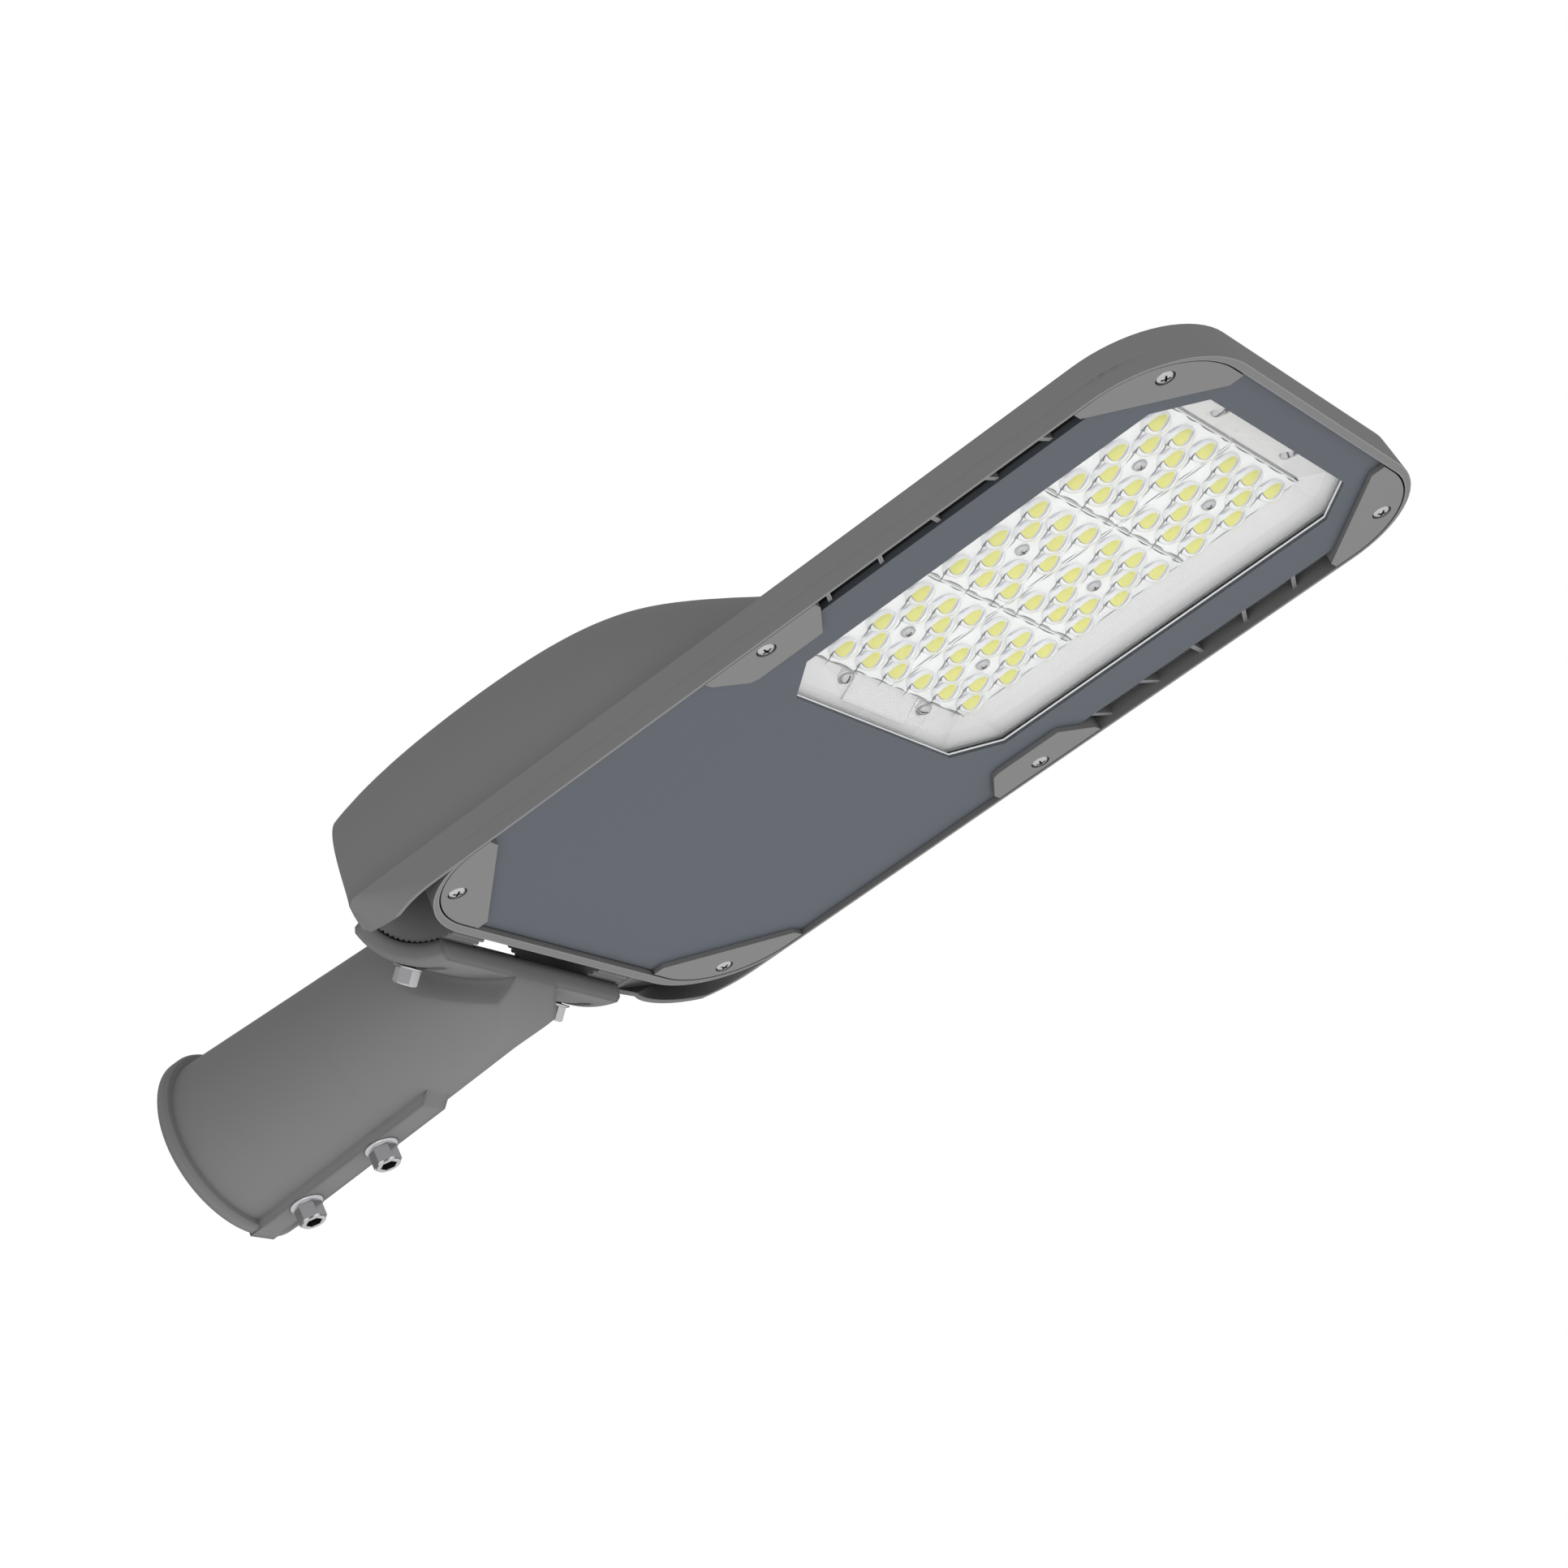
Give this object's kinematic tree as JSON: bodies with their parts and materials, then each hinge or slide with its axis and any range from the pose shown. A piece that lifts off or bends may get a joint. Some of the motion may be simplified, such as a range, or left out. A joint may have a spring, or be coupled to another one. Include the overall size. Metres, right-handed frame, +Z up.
{
  "type": "led street light head",
  "caption": "Flat die cast street light head with a driver dome, a glazed lens window under it and a tilting spigot with a round socket that clamps to a pole.",
  "frame": {"origin": "centre of the pole socket's mouth", "axes": "+X along the head from the pole to the tip, +Z up with the light leaving downwards, +Y to the left seen from the pole"},
  "size_m": [0.5045, 0.1988, 0.1205],
  "materials": {
    "spigot_paint": "satin powder coat",
    "housing_paint": "satin powder coat",
    "zinc_steel": "zinc plated",
    "slate_paint": "satin paint",
    "window_glass": "clear",
    "black_rubber": "matt",
    "white_silicone": "smooth silicone",
    "pad_paint": "satin powder coat",
    "board_white": "white solder mask",
    "led_phosphor": "yellow phosphor",
    "lens_clear": "clear moulded",
    "reflector_white": "bright white",
    "plated_sheet": "zinc plated sheet",
    "driver_case": "matt",
    "surge_case": "matt",
    "terminal_plastic": "matt",
    "gland_plastic": "matt"
  },
  "bodies": {
    "pole_spigot": {"spigot": "spigot_paint", "pole_clamp_bolts": "zinc_steel"},
    "light_head": {"breather_vent": "gland_plastic", "cable_gland": "gland_plastic", "cable_gland_nut": "gland_plastic", "clamp_pad_mid_left": "pad_paint", "clamp_pad_mid_right": "pad_paint", "clamp_pad_near_left": "pad_paint", "clamp_pad_near_right": "pad_paint", "clamp_pad_screws": "zinc_steel", "clamp_pad_tip_left": "pad_paint", "clamp_pad_tip_right": "pad_paint", "cover_gasket": "black_rubber", "cover_plate": "slate_paint", "gear_tray": "plated_sheet", "gear_tray_screws": "zinc_steel", "housing": "housing_paint", "led_board": "board_white", "led_chips": "led_phosphor", "led_driver": "driver_case", "lens_array_1": "lens_clear", "lens_array_2": "lens_clear", "lens_array_3": "lens_clear", "lens_array_4": "lens_clear", "lens_array_5": "lens_clear", "lens_array_6": "lens_clear", "lens_screws": "zinc_steel", "reflector_screws": "zinc_steel", "reflector_tray": "reflector_white", "surge_protector": "surge_case", "terminal_block": "terminal_plastic", "tilt_bolts": "zinc_steel", "window_gasket": "white_silicone", "window_glass": "window_glass"}
  },
  "joints": [
    {"name": "head_tilt", "type": "hinge", "parent": "pole_spigot", "child": "light_head", "pos_m": [0.1615, 0, 0.0266], "axis": [0, -1, 0], "range_deg": [0, 15]}
  ]
}
